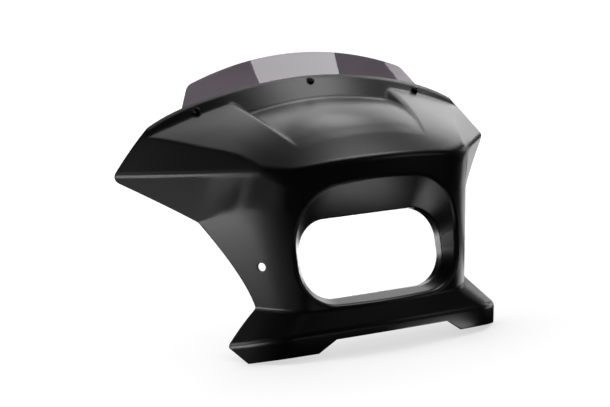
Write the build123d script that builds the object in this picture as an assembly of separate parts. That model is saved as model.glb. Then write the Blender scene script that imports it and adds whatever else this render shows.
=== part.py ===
from build123d import *
from math import asin, cos, radians, sin, sqrt, tan
import os

# Motorcycle fairing: a formed ABS body with a headlight opening, and a smoked windscreen bolted behind its
# upper edge. Millimetres, +X to the right seen from the front, +Y to the rider, +Z up. While it is modelled,
# y = 0 and z = 0 lie at the lower corners of the front notch, on the plane of the feet. It is moved to its
# own frame at the end.

# Sheet, and the blank that it is cut from
wall = 3.0
blank_back = 260.0              # the blank runs past the rear trim
blank_top = 380.0
blank_low = -120.0
blank_half = 420.0
reach = 900.0                   # size of the cutting blocks
drill_length = 24.0
touch = 0.01                    # an edge this close to a line lies on it

# Base band and feet
base_tilt = 15.5                # the plane of the feet falls to the rear
base_front = -8.5
base_bow = 0.0007               # y rises with x squared along the front
base_side = 129.2               # distance of the side line from the mid-point of the front
base_angle = 36.0               # the side lines open to the rear, measured from Y
base_front_half = 142.0         # where the front turns into the corner
band_height = 26.0
band_round = 10.0               # radius along the top of the band
notch_half_low = 108.0
notch_half_high = 84.0
notch_height = 14.2

# Column round the headlight
column_front = 8.0              # at the top of the flare
column_foot = 49.5
column_lean = 8.0
column_bow = 0.00081
column_side = 90.4
column_angle = 35.5
column_front_half = 106.0       # where the front turns into the corner
foot_round = 6.0                # radius along the foot of the column
mount_y = 61.0                  # bore for the side bracket, square to the column's side
mount_z = 103.5
mount_bore = 11.0
corner_draw = 1.7               # the round corners run this much further along the sides than along the front

# Wings
crease_level = 220.8            # height of the wing crease where y = 0
crease_fall = 27.2
crease_front_z = 164.0          # both lines sink round the corner to these heights and die out
ridge_level = 229.8             # height of the wing ridge where y = 0
ridge_fall = 6.05
ridge_front_z = 199.0
wing_side = 74.5
wing_angle = 41.9
wing_corner_draw = 1.0          # their corners are shorter
shoulder_x = 238.0              # where the shoulder crease meets the rear trim
shoulder_z = 253.0
wing_round = 9.0                # radius along the ridge and the shoulder crease
brow_round = 10.0               # radius along the bonnet's front edge

# Bonnet, channel and windscreen band
bonnet_stations = [             # y, crown height and arch radius of a section, and the channel's depth
    (-45.0, 178.0, 500.0, -4.0),
    (15.0, 221.0, 490.0, -1.2),
    (61.0, 251.0, 480.0, -0.15),
    (119.0, 281.5, 425.0, 3.2),
    (157.0, 293.6, 459.0, 8.6),
    (193.0, 300.7, 538.0, 15.2),
    (265.0, 311.5, 640.0, 30.0),
]
bonnet_slope = 30.0             # mean slope, which turns the wall into height
channel_slope = 10.0            # the same for the channel's floor
channel_front = (75.0, 259.0)   # y, z of the line along which the channel's walls run
channel_rear = (181.0, 287.0)
channel_half = 109.0            # half width of the floor at its rear end
channel_drop = 10.1             # the wall's foot lies this far below the mid-plane there
channel_draw = 9.5              # the channel narrows to the front
channel_wall_angle = 45.0
channel_depth = 40.0            # the trough that cuts it runs this far below the floor's edge
channel_height = 125.0          # and this far above it
panel_round = 8.0               # radius along the panels' edges
band_fold = 10.0                # radius of the fold between the floor and the band
band_axis = -180.0              # the band is a cone round a long axis at this height
band_start = 107.0              # height of the band's surface where y = 0; it rises at 45 degrees
band_front = 60.0

# Headlight recess
rim_half = 138.0
rim_low = 50.6
rim_high = 214.6
rim_round_low = 66.0
rim_round_high = 78.0
rim_standoff = 5.0              # the recess starts this far ahead of the column
rim_edge = 6.0                  # radius of the rolled edge
hole_half = 106.6
hole_height = 100.8
hole_round = 42.0
hole_centre = (61.0, 102.0)     # y, z of the collar's rear end
hole_tilt = 15.5
collar_depth = 14.0
collar_round = 4.0              # radius where the recess turns into the collar
light_depth = 60.0              # free depth behind the collar's front edge

# Rear trim: a plan line for the top, and a side line (y, z) below the wing tips
rear_line = [(0.0, 206.0), (100.0, 207.5), (195.0, 213.0), (245.0, 213.0), (285.0, 206.0), (330.0, 190.0)]
wing_tip = (206.0, 199.0)
wing_root = (131.6, 152.1)
trim_bend = (79.0, 88.0)
waist = (68.0, 51.0)
flare_bend = (67.5, 29.0)
base_rear = (59.0, 7.0)
foot_rear = (38.0, -10.5)
tip_round = 9.0                 # radius of the trim at the wing tips
root_round = 14.0               # and where the wing meets the column

# Windscreen, laid out in its own sheet plane from the middle screw
screen_wall = 3.0
screen_top = 51.0
screen_bottom = 20.0
screen_half = 164.0             # half width at the upper corners
screen_top_drop = 24.0          # the top edge falls this much to the corners
screen_bottom_drop = 15.0
screen_flare = 29.4             # the sides spread downwards, in degrees
screen_round = 14.0

# Screws, washers and well nuts
middle_screw_y = 199.6
side_screw_x = 168.0
side_screw_y = 203.0
screw_diameter = 5.0
screw_length = 19.0
screw_point = 0.6
head_diameter = 9.5
head_height = 2.75
head_edge = 0.9                 # straight edge of the button head
head_flat = 4.6                 # its flat top
head_lean = 0.35                # run per rise where the crown leaves the edge
socket_width = 3.0
socket_depth = 1.6
washer_diameter = 10.0
washer_thickness = 0.8
seat_gap = 0.1                  # flat seats on the curved band and screen
screw_clearance = 0.6           # on the diameter, in the band, the washer and the rubber
thread_clearance = 0.1
nut_diameter = 9.5
nut_clearance = 0.5             # on the diameter, in the windscreen
nut_length = 13.0
flange_diameter = 14.0
flange_thickness = 1.2
insert_diameter = 7.0
insert_length = 6.0
insert_clearance = 0.1

screen_gap = flange_thickness + 2 * seat_gap
screen_depth = wall + screen_gap
flange_under = -wall - seat_gap - flange_thickness
nut_end = flange_under - nut_length


def left(point):
    """The same point on the left half."""
    return Vector(-point.X, point.Y, point.Z)


def seam(solid, here, there):
    """The edges where the face nearest to one point meets the face nearest to the other."""
    ours, theirs = [solid.faces().sort_by_distance(Vertex(*point))[0].edges() for point in (here, there)]
    return [edge for edge in ours if any(edge.is_same(other) for other in theirs)]


def along(solid, *guides):
    """The edges of a solid that lie on every one of some lines or surfaces."""
    def follows(edge):
        return all(guide.distance_to(Vertex(*(edge @ t))) < touch for guide in guides for t in (0, 0.5, 1))

    return [edge for edge in solid.edges() if follows(edge)]


def column_y(z):
    """The column's front on the mid-plane at a height."""
    return column_front + tan(radians(column_lean)) * (z - column_foot)


def outline(front, bow, front_half, side, angle, draw, level, fall, inset, front_z=None):
    """Closed plan line at a level that falls to the rear: bowed front, round corners, straight sides.

    With front_z the front of the line lies at that height, so that a crease of the sides dies out there.
    """
    front, side = front + inset, side - inset
    c, s = cos(radians(angle)), sin(radians(angle))
    grade = 2 * bow * front_half
    end_y = front + bow * front_half ** 2

    def height(y):
        return level - tan(radians(fall)) * y

    def knee_at(shift):
        """Where the front's tangent, moved back by a shift, meets the side line."""
        x = (side + (end_y + shift - grade * front_half) * s) / (c - grade * s)
        return x, end_y + shift + grade * (x - front_half)

    nose_y = front - bow * front_half ** 2
    nose_z, end_z, knee_z = height(nose_y), height(end_y), height(knee_at(0)[1])
    knee_x, knee_y = knee_at(0)
    if front_z is not None:
        nose_z, end_z, knee_z = front_z, front_z, (front_z + knee_z) / 2
        knee_x, knee_y = knee_at(tan(radians(column_lean)) * (knee_z - front_z))
    run = draw * sqrt((knee_x - front_half) ** 2 + (knee_y - end_y) ** 2)
    start_y = knee_y + run * c
    nose, end = Vector(0, nose_y, nose_z), Vector(front_half, end_y, end_z)
    knee = Vector(knee_x, knee_y, knee_z)
    start = Vector(knee_x + run * s, start_y, height(start_y))
    back = Vector((side + blank_back * s) / c, blank_back, height(blank_back))
    return Wire([
        Line(left(back), left(start)),
        Bezier(left(start), left(knee), left(end)),
        Bezier(left(end), nose, end),
        Bezier(end, knee, start),
        Line(start, back),
        Line(back, left(back)),
    ])


def stack(inset):
    """The body below the bonnet: base band, flare, column and wings, as ruled strips between plan lines."""
    base = (base_front, base_bow, base_front_half, base_side, base_angle, corner_draw)
    column = (column_bow, column_front_half, column_side, column_angle, corner_draw)
    wing = (column_bow, column_front_half, wing_side, wing_angle, wing_corner_draw)
    feet = blank_low if inset else 0
    band_top = outline(*base, band_height - inset / 2, base_tilt, inset)
    foot = outline(column_front, *column, column_foot - inset / 2, 0, inset)
    solid = Solid.make_loft([
        outline(*base, feet, base_tilt, inset),
        band_top,
        foot,
        outline(column_y(crease_front_z), *column, crease_level, crease_fall, inset, crease_front_z),
        outline(column_y(ridge_front_z), *wing, ridge_level, ridge_fall, inset, ridge_front_z),
        outline(column_y(blank_top), *wing, blank_top, 0, inset),
    ], ruled=True)
    solid = fillet(along(solid, band_top), band_round - inset)
    return solid if inset else fillet(along(solid, foot), foot_round)


def bonnet(inset, sunk=0):
    """Everything below the bonnet panels, or below the channel's floor when it is sunk by its whole depth."""
    def section(y, crown, arch, depth):
        slope = channel_slope if sunk else bonnet_slope
        top = crown - sunk * depth - inset / cos(radians(slope))
        side = top - blank_half ** 2 / (2 * arch)
        crest = Bezier((-blank_half, y, side), (0, y, 2 * top - side), (blank_half, y, side))
        rest = Polyline((blank_half, y, side), (blank_half, y, blank_low),
                        (-blank_half, y, blank_low), (-blank_half, y, side))
        return make_face(Wire([crest] + rest.edges()))

    return loft([section(*station) for station in bonnet_stations])


def channel(inset):
    """The sunk channel between the bonnet panels: a tapering trough down to a softly falling floor."""
    spread = tan(radians(90 - channel_wall_angle))
    grown = inset / sin(radians(channel_wall_angle))
    climb = (channel_rear[1] - channel_front[1]) / (channel_rear[0] - channel_front[0])

    def mouth(y):
        back = y - channel_rear[0]
        half = channel_half + grown + back * tan(radians(channel_draw))
        edge_z = channel_rear[1] - channel_drop + back * climb
        low_z, high_z = edge_z - channel_depth, edge_z + channel_height
        low, high = half - channel_depth * spread, half + channel_height * spread
        corners = [(-low, y, low_z), (low, y, low_z), (high, y, high_z), (-high, y, high_z)]
        return make_face(Polyline(*corners, close=True))

    return loft([mouth(channel_front[0] - channel_depth), mouth(blank_back)], ruled=True) - bonnet(inset, 1)


def cone(depth):
    """Everything below the windscreen band's surface, moved in by a depth."""
    rise = band_start - depth * sqrt(2)
    strip = Polyline((0, band_front, band_axis), (0, band_front, band_front + rise),
                     (0, blank_back, blank_back + rise), (0, blank_back, band_axis), close=True)
    return revolve(make_face(strip), Axis((0, 0, band_axis), (0, 1, 0)))


def ridge_point(y):
    """A point of the right wing's ridge."""
    x = (wing_side + y * sin(radians(wing_angle))) / cos(radians(wing_angle))
    return Vector(x, y, ridge_level - tan(radians(ridge_fall)) * y)


def shoulder(inset):
    """The block above the right wing's upper panel."""
    front, rear = ridge_point(0), ridge_point(wing_tip[0])
    crest = Vector(shoulder_x, wing_tip[0], shoulder_z)
    normal = (rear - front).cross(crest - front).normalized()
    plane = Plane(front - normal * inset, x_dir=rear - front, z_dir=normal)
    return plane * Box(reach, reach, reach / 2, align=(Align.CENTER, Align.CENTER, Align.MIN))


def body(inset):
    """The closed body under the sheet's outer face, moved in by an inset, with its rounded creases."""
    below, panels, block = stack(inset), bonnet(inset), shoulder(inset)
    solid = below & panels
    brow_z = (ridge_front_z + ridge_level) / 2
    nose = Vector(0, column_y(brow_z) + inset, brow_z)
    panel = Vector(0, *bonnet_stations[2][:2])
    solid = fillet(seam(solid, nose, panel), brow_round - inset)
    solid = solid - channel(inset) + (below & cone(inset)) - block - mirror(block, Plane.YZ)

    ridge = ridge_point(wing_root[0])
    upper = Vector((ridge.X + shoulder_x) / 2, ridge.Y, (ridge.Z + shoulder_z) / 2)
    lower = Vector(ridge.X, ridge.Y, (ridge.Z + wing_root[1]) / 2)
    wing = seam(solid, upper, lower) + seam(solid, upper, panel)
    wing += seam(solid, left(upper), left(lower)) + seam(solid, left(upper), panel)
    return fillet(wing, wing_round - inset)


def with_channel_edges(solid):
    """Rounds the panels' edges along the channel and the band, and the fold under the band."""
    rear_y, crown, _, depth = bonnet_stations[4]
    floor = Vector(0, rear_y, crown - depth)
    wall_foot = Vector(channel_half, rear_y, crown - depth - channel_drop)
    panel = Vector(0, *bonnet_stations[2][:2])
    band = Vector(0, middle_screw_y, middle_screw_y + band_start)
    edges = seam(solid, panel, band) + seam(solid, wall_foot, panel) + seam(solid, left(wall_foot), panel)
    solid = fillet(edges, panel_round)
    return fillet(seam(solid, floor, band), band_fold)


def rear_trim():
    """Everything behind the rear edge."""
    mirrored = [(-x, y) for x, y in reversed(rear_line[1:])]
    line = Spline(*(mirrored + rear_line))
    end_x, end_y = rear_line[-1]
    frame = Polyline((end_x, end_y), (reach, end_y), (reach, reach),
                     (-reach, reach), (-reach, end_y), (-end_x, end_y))
    top = Pos(0, 0, wing_root[1]) * extrude(make_face(Wire([line] + frame.edges())), reach)
    wing_climb = (wing_tip[1] - wing_root[1]) / (wing_tip[0] - wing_root[0])
    far_z = wing_root[1] + (reach - wing_root[0]) * wing_climb
    edge = [
        Line((reach, far_z), wing_root),
        Bezier(wing_root, trim_bend, waist),
        Bezier(waist, flare_bend, base_rear),
        Polyline(base_rear, foot_rear, (foot_rear[0], -reach), (reach, -reach), (reach, far_z)),
    ]
    side = make_face(Wire(Curve() + edge))
    side = fillet(side.vertices().sort_by_distance(Vertex(*wing_root))[0], root_round)
    trim = top + extrude(Plane.YZ * side, reach / 2, both=True)
    above = Vector(0, rear_line[0][1], blank_top)
    behind = Vector(0, blank_back, wing_root[1] + (blank_back - wing_root[0]) * wing_climb)
    return fillet(seam(trim, above, behind), tip_round)


def light_outline(half, low, high, round_low, round_high, grow):
    """Round-cornered outline of the headlight recess."""
    width, height = 2 * (half + grow), high - low + 2 * grow
    shape = Pos(0, low - grow) * Rectangle(width, height, align=(Align.CENTER, Align.MIN))
    shape = fillet(shape.vertices().sort_by(Axis.Y)[:2], round_low + grow)
    return fillet(shape.vertices().sort_by(Axis.Y)[-2:], round_high + grow)


def light_recess(grow, depth):
    """The recess drawn in from the column's front, and its collar of the given depth."""
    def facing(tilt, y, z, ahead):
        """A plane across the recess that leans back by a tilt, moved ahead of a point on the mid-plane."""
        out = Vector(0, -cos(radians(tilt)), sin(radians(tilt)))
        return Plane(Vector(0, y, z) + out * ahead, x_dir=(1, 0, 0), z_dir=out)

    rim_z = (rim_low + rim_high) / 2
    half_rim, half_hole = (rim_high - rim_low) / 2, hole_height / 2
    rim_plane = facing(column_lean, column_y(rim_z), rim_z, rim_standoff)
    hole_plane = facing(hole_tilt, *hole_centre, collar_depth)
    rim = rim_plane * light_outline(rim_half, -half_rim, half_rim, rim_round_low, rim_round_high, grow)
    hole = hole_plane * light_outline(hole_half, -half_hole, half_hole, hole_round, hole_round, grow)
    recess = loft([rim.face(), hole.face()], ruled=True) + extrude(hole, -depth)
    return recess if grow else fillet(along(recess, hole.wire()), collar_round)


def notch():
    """The notch in the front of the base band, square to the plane of the feet."""
    tilt = radians(base_tilt)
    plane = Plane((0, 0, 0), x_dir=(1, 0, 0), z_dir=(0, -cos(tilt), sin(tilt)))
    spread = (notch_half_low - notch_half_high) / notch_height
    low = notch_half_low + band_height * spread
    shape = Polyline((-low, -band_height), (low, -band_height), (notch_half_high, notch_height),
                     (-notch_half_high, notch_height), close=True)
    return extrude(plane * make_face(shape), -2 * base_front, both=True)


def mount_hole():
    """The bore for the right side bracket."""
    c, s = cos(radians(column_angle)), sin(radians(column_angle))
    seat = Vector((column_side + mount_y * s) / c, mount_y, mount_z)
    return Plane(seat, z_dir=(c, -s, 0)) * Cylinder(mount_bore / 2, drill_length)


def screw_planes():
    """A plane at each screw, on the band's outer face and square to it."""
    planes = []
    for x, y in ((-side_screw_x, side_screw_y), (0, middle_screw_y), (side_screw_x, side_screw_y)):
        radius = y + band_start - band_axis
        turn = asin(x / radius)
        seat = Vector(x, y, band_axis + radius * cos(turn))
        planes.append(Plane(seat, x_dir=(cos(turn), 0, -sin(turn)), z_dir=(sin(turn), -1, cos(turn))))
    return planes


def at_screws(piece):
    """Copies of a piece at the three screws."""
    return [plane * piece for plane in screw_planes()]


def drilled(sheet, diameter):
    """A sheet with a hole at each screw."""
    for drill in at_screws(Cylinder(diameter / 2, drill_length)):
        sheet = sheet - drill
    return sheet


def fairing_shell():
    """The formed body: an even skin, drawn in round the headlight, trimmed and drilled."""
    blank = with_channel_edges(body(0))
    recess = light_recess(0, light_depth)
    skin = blank - recess
    skin = fillet(along(skin, blank.shell(), recess.shell()), rim_edge)
    skin = skin - (body(wall) - light_recess(wall, collar_depth)) - rear_trim() - notch()
    skin = skin - mount_hole() - mirror(mount_hole(), Plane.YZ)
    return drilled(skin, screw_diameter + screw_clearance)


def windscreen():
    """The smoked sheet behind the band, bent to the same cone, with round corners."""
    upper = screen_top - screen_top_drop
    lower = -screen_bottom - screen_bottom_drop
    lower_half = screen_half + (upper - lower) * tan(radians(screen_flare))
    shape = make_face(Wire([
        ThreePointArc((-screen_half, upper), (0, screen_top), (screen_half, upper)),
        Line((screen_half, upper), (lower_half, lower)),
        ThreePointArc((lower_half, lower), (0, -screen_bottom), (-lower_half, lower)),
        Line((-lower_half, lower), (-screen_half, upper)),
    ]))
    shape = fillet(shape.vertices(), screen_round)
    sheet = cone(screen_depth) - cone(screen_depth + screen_wall)
    sheet = sheet & extrude(screw_planes()[1] * shape, blank_back, both=True)
    return drilled(sheet, nut_diameter + nut_clearance)


def turned(*points):
    """A piece turned round Z from the right half of its section."""
    return revolve(make_face(Plane.XZ * Polyline(*points, close=True)), Axis.Z)


def screw():
    """A button-head screw with a hexagon socket."""
    seat = seat_gap + washer_thickness
    top, tip = seat + head_height, seat - screw_length
    r, head = screw_diameter / 2, head_diameter / 2
    shank = turned((0, tip), (r - screw_point, tip), (r, tip + screw_point), (r, seat), (0, seat))
    crown = Wire([
        Line((0, seat), (head, seat)),
        Line((head, seat), (head, seat + head_edge)),
        TangentArc((head, seat + head_edge), (head_flat / 2, top), tangent=(-head_lean, 1)),
        Line((head_flat / 2, top), (0, top)),
        Line((0, top), (0, seat)),
    ])
    button = revolve(Plane.XZ * make_face(crown), Axis.Z)
    socket = Pos(0, 0, top) * extrude(RegularPolygon(socket_width / 2, 6, major_radius=False), -socket_depth)
    return shank + button - socket


def washer():
    """A flat nylon washer under the screw's head."""
    inner, outer = (screw_diameter + screw_clearance) / 2, washer_diameter / 2
    top = seat_gap + washer_thickness
    return turned((inner, seat_gap), (outer, seat_gap), (outer, top), (inner, top))


def well_nut():
    """A rubber bush with a flange between the band and the windscreen."""
    bore, shank = (screw_diameter + screw_clearance) / 2, nut_diameter / 2
    pocket, flange = (insert_diameter + insert_clearance) / 2, flange_diameter / 2
    top, shelf = -wall - seat_gap, nut_end + insert_length
    return turned((bore, top), (flange, top), (flange, flange_under), (shank, flange_under), (shank, nut_end),
                  (pocket, nut_end), (pocket, shelf), (bore, shelf))


def insert():
    """The threaded brass bush in the end of the well nut."""
    inner, outer = (screw_diameter + thread_clearance) / 2, insert_diameter / 2
    shelf = nut_end + insert_length
    return turned((inner, nut_end), (outer, nut_end), (outer, shelf), (inner, shelf))


pieces = {
    "fairing_shell": fairing_shell(),
    "windscreen": windscreen(),
    "windscreen_screws": Compound(at_screws(screw())),
    "screw_washers": Compound(at_screws(washer())),
    "well_nuts": Compound(at_screws(well_nut())),
    "well_nut_inserts": Compound(at_screws(insert())),
}

# The part's own frame: the middle of the bounding box's underside
box = Compound(list(pieces.values())).bounding_box()
place = Pos(0, -(box.min.Y + box.max.Y) / 2, -box.min.Z)

os.makedirs("parts", exist_ok=True)
for name, piece in pieces.items():
    export_step(place * piece, f"parts/{name}.step")
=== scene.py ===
import bpy
from math import cos, pi, radians, sin
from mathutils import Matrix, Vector

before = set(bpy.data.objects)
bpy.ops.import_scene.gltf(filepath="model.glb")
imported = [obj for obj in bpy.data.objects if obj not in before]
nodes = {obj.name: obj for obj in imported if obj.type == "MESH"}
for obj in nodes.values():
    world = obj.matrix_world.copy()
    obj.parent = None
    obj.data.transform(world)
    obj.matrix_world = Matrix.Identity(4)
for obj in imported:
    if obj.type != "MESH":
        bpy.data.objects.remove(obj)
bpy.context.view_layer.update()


# Fairing shell: the body of the fairing, one sheet of ABS that is black all through.
# It is vacuum-formed over a mould and trimmed, and it carries the windscreen on its upper band.
# The CAD form stays as it is, and the material adds what heat and mould leave on the sheet.
def linear(colour):
    """Linear RGBA of an sRGB hex colour."""
    parts = [int(colour[i:i + 2], 16) / 255 for i in (1, 3, 5)]
    return [c / 12.92 if c <= 0.04045 else ((c + 0.055) / 1.055) ** 2.4 for c in parts] + [1]


def material(name):
    """A new material with an empty node tree."""
    made = bpy.data.materials.new(name)
    made.use_nodes = True
    made.node_tree.nodes.clear()
    return made, made.node_tree


def node(tree, kind, settings=None, **sockets):
    """Adds a shader node with its settings, values and links. A link is (node, output name).

    A socket's name has _ for each space, and input0, input1 and so on stand for its place in the list.
    """
    made = tree.nodes.new("ShaderNode" + kind)
    for name, value in (settings or {}).items():
        setattr(made, name, value)
    for name, value in sockets.items():
        key = int(name.removeprefix("input")) if name.startswith("input") else name.replace("_", " ")
        if isinstance(value, tuple) and hasattr(value[0], "outputs"):
            tree.links.new(value[0].outputs[value[1]], made.inputs[key])
        else:
            made.inputs[key].default_value = value
    return made


def dress(name, finish):
    """Gives a CAD node its material."""
    piece = nodes[name]
    piece.data.materials.clear()
    piece.data.materials.append(finish)


# Satin ABS as it comes off the mould: a deep black that shows only by what it mirrors, softly and a little
# unevenly. The real grain is about 0.3 mm wide, and it is drawn coarser, so that it shows.
metre_mm = 1000
grain_mm = 1.1
grain_depth = 0.0004
wave_mm = 110
abs_black, tree = material("ABS satin black")
place = node(tree, "TexCoord")
cloud = node(tree, "TexNoise", Vector=(place, "Object"), Scale=metre_mm / wave_mm, Detail=2)
grain = node(tree, "TexNoise", Vector=(place, "Object"), Scale=metre_mm / grain_mm, Detail=3, Roughness=0.6)
black = node(tree, "MixRGB", Fac=(cloud, "Fac"), Color1=linear("#070707"), Color2=linear("#0a0a0a"))
satin = node(tree, "MapRange", Value=(cloud, "Fac"), To_Min=0.28, To_Max=0.34)

# The drawn sheet's creases catch the light more softly than the CAD's blends do: a little low down, more on
# the bonnet, most at the front corners of the wings. X is taken without its sign, so that one corner serves
# both wings, and Y is first moved to where it is never negative.
crease_low = 0.002
crease_bonnet = 0.007
crease_wing = 0.016
bonnet_foot = 0.235
bonnet_rise = 0.02
wing_near = 0.03
wing_far = 0.08
moved = 0.2
wing_corner = (0.155, moved - 0.03, 0.205)
ahead = node(tree, "VectorMath", {"operation": "ADD"}, Vector=(place, "Object"), input1=(0, moved, 0))
halves = node(tree, "VectorMath", {"operation": "ABSOLUTE"}, Vector=(ahead, "Vector"))
corner = node(tree, "VectorMath", {"operation": "DISTANCE"}, Vector=(halves, "Vector"), input1=wing_corner)
drawn = node(tree, "MapRange", Value=(corner, "Value"), From_Min=wing_near, From_Max=wing_far,
             To_Min=crease_wing, To_Max=0)
height = node(tree, "SeparateXYZ", Vector=(place, "Object"))
formed = node(tree, "MapRange", Value=(height, "Z"), From_Min=bonnet_foot, From_Max=bonnet_foot + bonnet_rise,
              To_Min=crease_low, To_Max=crease_bonnet)
soft = node(tree, "Math", {"operation": "MAXIMUM"}, input0=(drawn, "Result"), input1=(formed, "Result"))
edge = node(tree, "Bevel", {"samples": 8}, Radius=(soft, "Value"))
relief = node(tree, "Bump", Height=(grain, "Fac"), Normal=(edge, "Normal"), Strength=0.04,
              Distance=grain_depth)
skin = node(tree, "BsdfPrincipled", Base_Color=(black, "Color"), Roughness=(satin, "Result"), IOR=1.5,
            Normal=(relief, "Normal"))
node(tree, "OutputMaterial", Surface=(skin, "BSDF"))
dress("fairing_shell", abs_black)


# Windscreen: a low screen cut from 3 mm smoked PMMA sheet, bent warm to the curve of the band and polished.
# Three screws hold it behind the band, each through a rubber well nut. The CAD form stays as it is.
streak_mm = 70
pmma_ior = 1.49
# Polished smoked PMMA: about a tenth of the light comes through, with a faint purple cast, and the lamps
# mirror sharply in it. Half of the tint lies on each face. From inside the sheet its index is turned over.
smoked, tree = material("PMMA smoked")
place = node(tree, "TexCoord")
cloud = node(tree, "TexNoise", Vector=(place, "Object"), Scale=metre_mm / streak_mm, Detail=1)
smoke = node(tree, "MixRGB", Fac=(cloud, "Fac"), Color1=linear("#938e93"), Color2=linear("#989398"))
tint = node(tree, "BsdfTransparent", Color=(smoke, "Color"))
gloss = node(tree, "BsdfGlossy", Color=linear("#ffffff"), Roughness=0.015)
side = node(tree, "NewGeometry")
index = node(tree, "MapRange", Value=(side, "Backfacing"), To_Min=pmma_ior, To_Max=1 / pmma_ior)
share = node(tree, "Fresnel", IOR=(index, "Result"))
sheet = node(tree, "MixShader", Fac=(share, "Fac"), input1=(tint, "BSDF"), input2=(gloss, "BSDF"))
node(tree, "OutputMaterial", Surface=(sheet, "Shader"))
dress("windscreen", smoked)


# Windscreen screws: three M5 button heads with a hexagon socket, cold-headed steel, blackened.
# Each goes through band, screen and well nut into its brass insert. The CAD form stays as it is.
spot_mm = 0.9
# Black oxide on steel: a dark, slightly brown coat with the sheen of oiled metal under it. Its spots are
# finer than the render shows, so they are drawn coarser.
steel, tree = material("Steel black oxide")
place = node(tree, "TexCoord")
spots = node(tree, "TexNoise", Vector=(place, "Object"), Scale=metre_mm / spot_mm, Detail=4)
coat = node(tree, "MixRGB", Fac=(spots, "Fac"), Color1=linear("#141314"), Color2=linear("#262322"))
sheen = node(tree, "MapRange", Value=(spots, "Fac"), To_Min=0.24, To_Max=0.42)
skin = node(tree, "BsdfPrincipled", Base_Color=(coat, "Color"), Metallic=0.85, Roughness=(sheen, "Result"))
node(tree, "OutputMaterial", Surface=(skin, "BSDF"))
dress("windscreen_screws", steel)


# Screw washers: three thin rings of nylon, punched from sheet, one under each screw head.
# They keep the steel from marking the band. The CAD form stays as it is.
mottle_mm = 1.6
# Black nylon: waxy, with a faint mottle, drawn coarser than the real one so that it shows.
nylon, tree = material("Nylon black")
place = node(tree, "TexCoord")
mottle = node(tree, "TexNoise", Vector=(place, "Object"), Scale=metre_mm / mottle_mm, Detail=2)
black = node(tree, "MixRGB", Fac=(mottle, "Fac"), Color1=linear("#0d0d0e"), Color2=linear("#18181a"))
wax = node(tree, "MapRange", Value=(mottle, "Fac"), To_Min=0.4, To_Max=0.55)
skin = node(tree, "BsdfPrincipled", Base_Color=(black, "Color"), Roughness=(wax, "Result"), IOR=1.53)
node(tree, "OutputMaterial", Surface=(skin, "BSDF"))
dress("screw_washers", nylon)


# Well nuts: three moulded rubber sleeves, each with a flange between the band and the windscreen.
# They sit in the windscreen's holes and hold a brass insert at the far end. The CAD form stays as it is.
pit_mm = 2.8
pit_depth = 0.0003
# Moulded rubber: dull, with a dusty bloom and a pitted skin, drawn coarser than the real one to show.
rubber, tree = material("Rubber black moulded")
place = node(tree, "TexCoord")
bloom = node(tree, "TexNoise", Vector=(place, "Object"), Scale=metre_mm / pit_mm, Detail=4, Roughness=0.7)
black = node(tree, "MixRGB", Fac=(bloom, "Fac"), Color1=linear("#121212"), Color2=linear("#262626"))
dull = node(tree, "MapRange", Value=(bloom, "Fac"), To_Min=0.65, To_Max=0.85)
pits = node(tree, "Bump", Height=(bloom, "Fac"), Strength=0.2, Distance=pit_depth)
skin = node(tree, "BsdfPrincipled", Base_Color=(black, "Color"), Roughness=(dull, "Result"),
            Normal=(pits, "Normal"))
node(tree, "OutputMaterial", Surface=(skin, "BSDF"))
dress("well_nuts", rubber)


# Well nut inserts: three turned brass bushes, threaded for the screws.
# They are bonded into pockets in the far ends of the well nuts. The CAD form stays as it is.
tarnish_mm = 2.0
# Turned brass: a warm metal, a little darker where the air has dulled it.
brass, tree = material("Brass turned")
place = node(tree, "TexCoord")
tarnish = node(tree, "TexNoise", Vector=(place, "Object"), Scale=metre_mm / tarnish_mm, Detail=4)
metal = node(tree, "MixRGB", Fac=(tarnish, "Fac"), Color1=linear("#d3b268"), Color2=linear("#a8854a"))
turned = node(tree, "MapRange", Value=(tarnish, "Fac"), To_Min=0.22, To_Max=0.4)
skin = node(tree, "BsdfPrincipled", Base_Color=(metal, "Color"), Metallic=1.0, Roughness=(turned, "Result"))
node(tree, "OutputMaterial", Surface=(skin, "BSDF"))
dress("well_nut_inserts", brass)


# Studio floor: one sweep of matt white paper that glows, so that it stays white to the horizon.
# Round the part its glow is lower, and a painted contact shadow sinks it further where the part stands close
# over it.
# The camera sees it, and the part doesn't mirror it: the cards below are there for that.
floor_size = 40
near_radius = 0.6
far_radius = 2.5
near_glow = 0.88
far_glow = 1.05
contact_shadow_reach = 0.2
contact_shadow_glow = 0.52
bpy.ops.mesh.primitive_plane_add(size=floor_size, location=(0, 0, 0))
floor = bpy.context.object
floor.name = "studio_floor"
paper, tree = material("Paper white")
place = node(tree, "TexCoord")
radius = node(tree, "VectorMath", {"operation": "LENGTH"}, Vector=(place, "Object"))
level = node(tree, "MapRange", Value=(radius, "Value"), From_Min=near_radius, From_Max=far_radius,
             To_Min=near_glow, To_Max=far_glow)
# Painted contact shadow: the glow is darkened where the part stands close over the paper and hides it from
# around.
painted_contact_shadow = node(tree, "AmbientOcclusion", {"samples": 8}, Distance=contact_shadow_reach)
shade = node(tree, "MapRange", Value=(painted_contact_shadow, "AO"), To_Min=contact_shadow_glow, To_Max=1.0)
shaded = node(tree, "Math", {"operation": "MULTIPLY"}, input0=(level, "Result"), input1=(shade, "Result"))
glow = node(tree, "Emission", Color=linear("#ffffff"), Strength=(shaded, "Value"))
matt = node(tree, "BsdfDiffuse", Color=linear("#909090"))
both = node(tree, "AddShader", input0=(glow, "Emission"), input1=(matt, "BSDF"))
node(tree, "OutputMaterial", Surface=(both, "Shader"))
floor.data.materials.append(paper)
floor.visible_diffuse = False
floor.visible_glossy = False

# No light comes from the sky, only from the lamps.
scene = bpy.context.scene
scene.view_settings.view_transform = "Standard"
world = bpy.data.worlds.new("studio")
world.use_nodes = True
world.node_tree.nodes["Background"].inputs["Strength"].default_value = 0.0
scene.world = world


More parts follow.
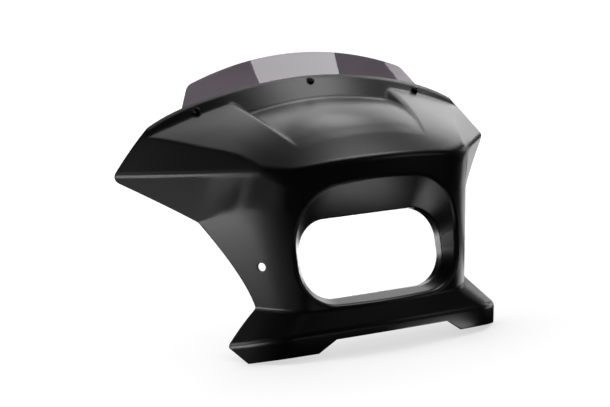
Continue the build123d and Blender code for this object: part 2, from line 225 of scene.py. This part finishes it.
# Softboxes and cards: rectangular lamps round the part, and cards that lie on the floor and glow upwards.
# The first two softboxes give the windscreen its light panes, and the last two draw the left edges of foot
# and wing. The rest give the satin sheet something soft to mirror.
def lamp(name, place, away, width, height, brightness, roll=0):
    """A rectangular lamp at a place, its back turned to a direction. Only its light shows."""
    light = bpy.data.lights.new(name, "AREA")
    light.shape = "RECTANGLE"
    light.size = width
    light.size_y = height
    light.energy = brightness * pi * width * height
    made = bpy.data.objects.new(name, light)
    scene.collection.objects.link(made)
    made.location = place
    made.rotation_euler = away.to_track_quat("Z", "Y").to_euler()
    made.rotation_euler.rotate_axis("Z", radians(roll))
    made.visible_camera = False


screen = (0, 0.1, 0.33)
screen_end = (0.15, 0.11, 0.31)
middle = (0, 0, 0.17)
left_foot = (0, -0.09, 0.065)
wing_ridge = (-0.2, 0.03, 0.21)
reach = 2.2
box = 0.55
softboxes = [  # aim, azimuth from the rear to the right, elevation, distance, width, height, brightness, roll
    ("pane_top", screen, 107, 59.5, 2.0, 0.6, 0.72, 6.3, 8),
    ("pane_right", screen_end, 86, 34, 2.0, 0.16, 0.46, 3.3, 0),
    ("sweep", middle, 40, 12, reach, 1.5, 0.9, 2.3, 0),
    ("key_right", middle, 57, 31, reach, box, box, 3.4, 0),
    ("key_top", middle, 47, 52, reach, 0.5, 0.5, 6.0, 0),
    ("key_back", middle, 27, 44, reach, box, box, 2.7, 0),
    ("key_low", middle, 39, 31, reach, box, box, 1.8, 0),
    ("top_back", middle, 13, 57, reach, box, box, 2.4, 0),
    ("top_left", middle, -15, 57, reach, box, box, 1.9, 0),
    ("right_low", middle, 75, 5, reach, box, box, 2.0, 0),
    ("front_right", middle, 135, 18, reach, box, box, 1.0, 0),
    ("left_back", middle, 285, 30, reach, 0.8, 0.8, 4.7, 0),
    ("left_strip", left_foot, 270, 0, 0.9, 0.36, 0.13, 9, 0),
    ("left_ridge", wing_ridge, 252, 4, 1.2, 0.6, 0.1, 16, 0),
]
for name, aim, azimuth, elevation, distance, width, height, brightness, roll in softboxes:
    turn = radians(azimuth)
    rise = radians(elevation)
    away = Vector((sin(turn) * cos(rise), cos(turn) * cos(rise), sin(rise)))
    lamp(name, Vector(aim) + away * distance, away, width, height, brightness, roll)

card_level = 0.003
small = 0.26
downwards = Vector((0, 0, -1))
cards = [  # x, y, width, depth, brightness
    ("card_behind", 0.35, 1.0, 1.5, 1.5, 1.3),
    ("card_left", -0.45, 0, small, small, 0.7),
    ("card_left_front", -0.67, -0.67, box, box, 0.5),
    ("card_right", 0.45, 0, small, small, 1.8),
    ("card_front", 0, -0.45, small, small, 1.2),
    ("card_lamp", 0.095, -0.15, 0.13, 0.04, 3.4),
    ("card_back", 0, 0.55, 0.8, 0.6, 6.0),
]
for name, x, y, width, depth, brightness in cards:
    lamp(name, (x, y, card_level), downwards, width, depth, brightness)


# Camera: a long lens at the photograph's angle, from the left and a little above.
sensor_mm = 36
lens_mm = 117.15
from_left = 31
from_above = 12.22
camera = bpy.data.cameras.new("camera")
camera.sensor_width = sensor_mm
camera.lens = lens_mm
camera.dof.use_dof = False
viewer = bpy.data.objects.new("camera", camera)
scene.collection.objects.link(viewer)
viewer.rotation_euler = (radians(90 - from_above), 0, radians(-from_left))
viewer.location = (-1.3398, -2.1326, 0.7128)
scene.camera = viewer
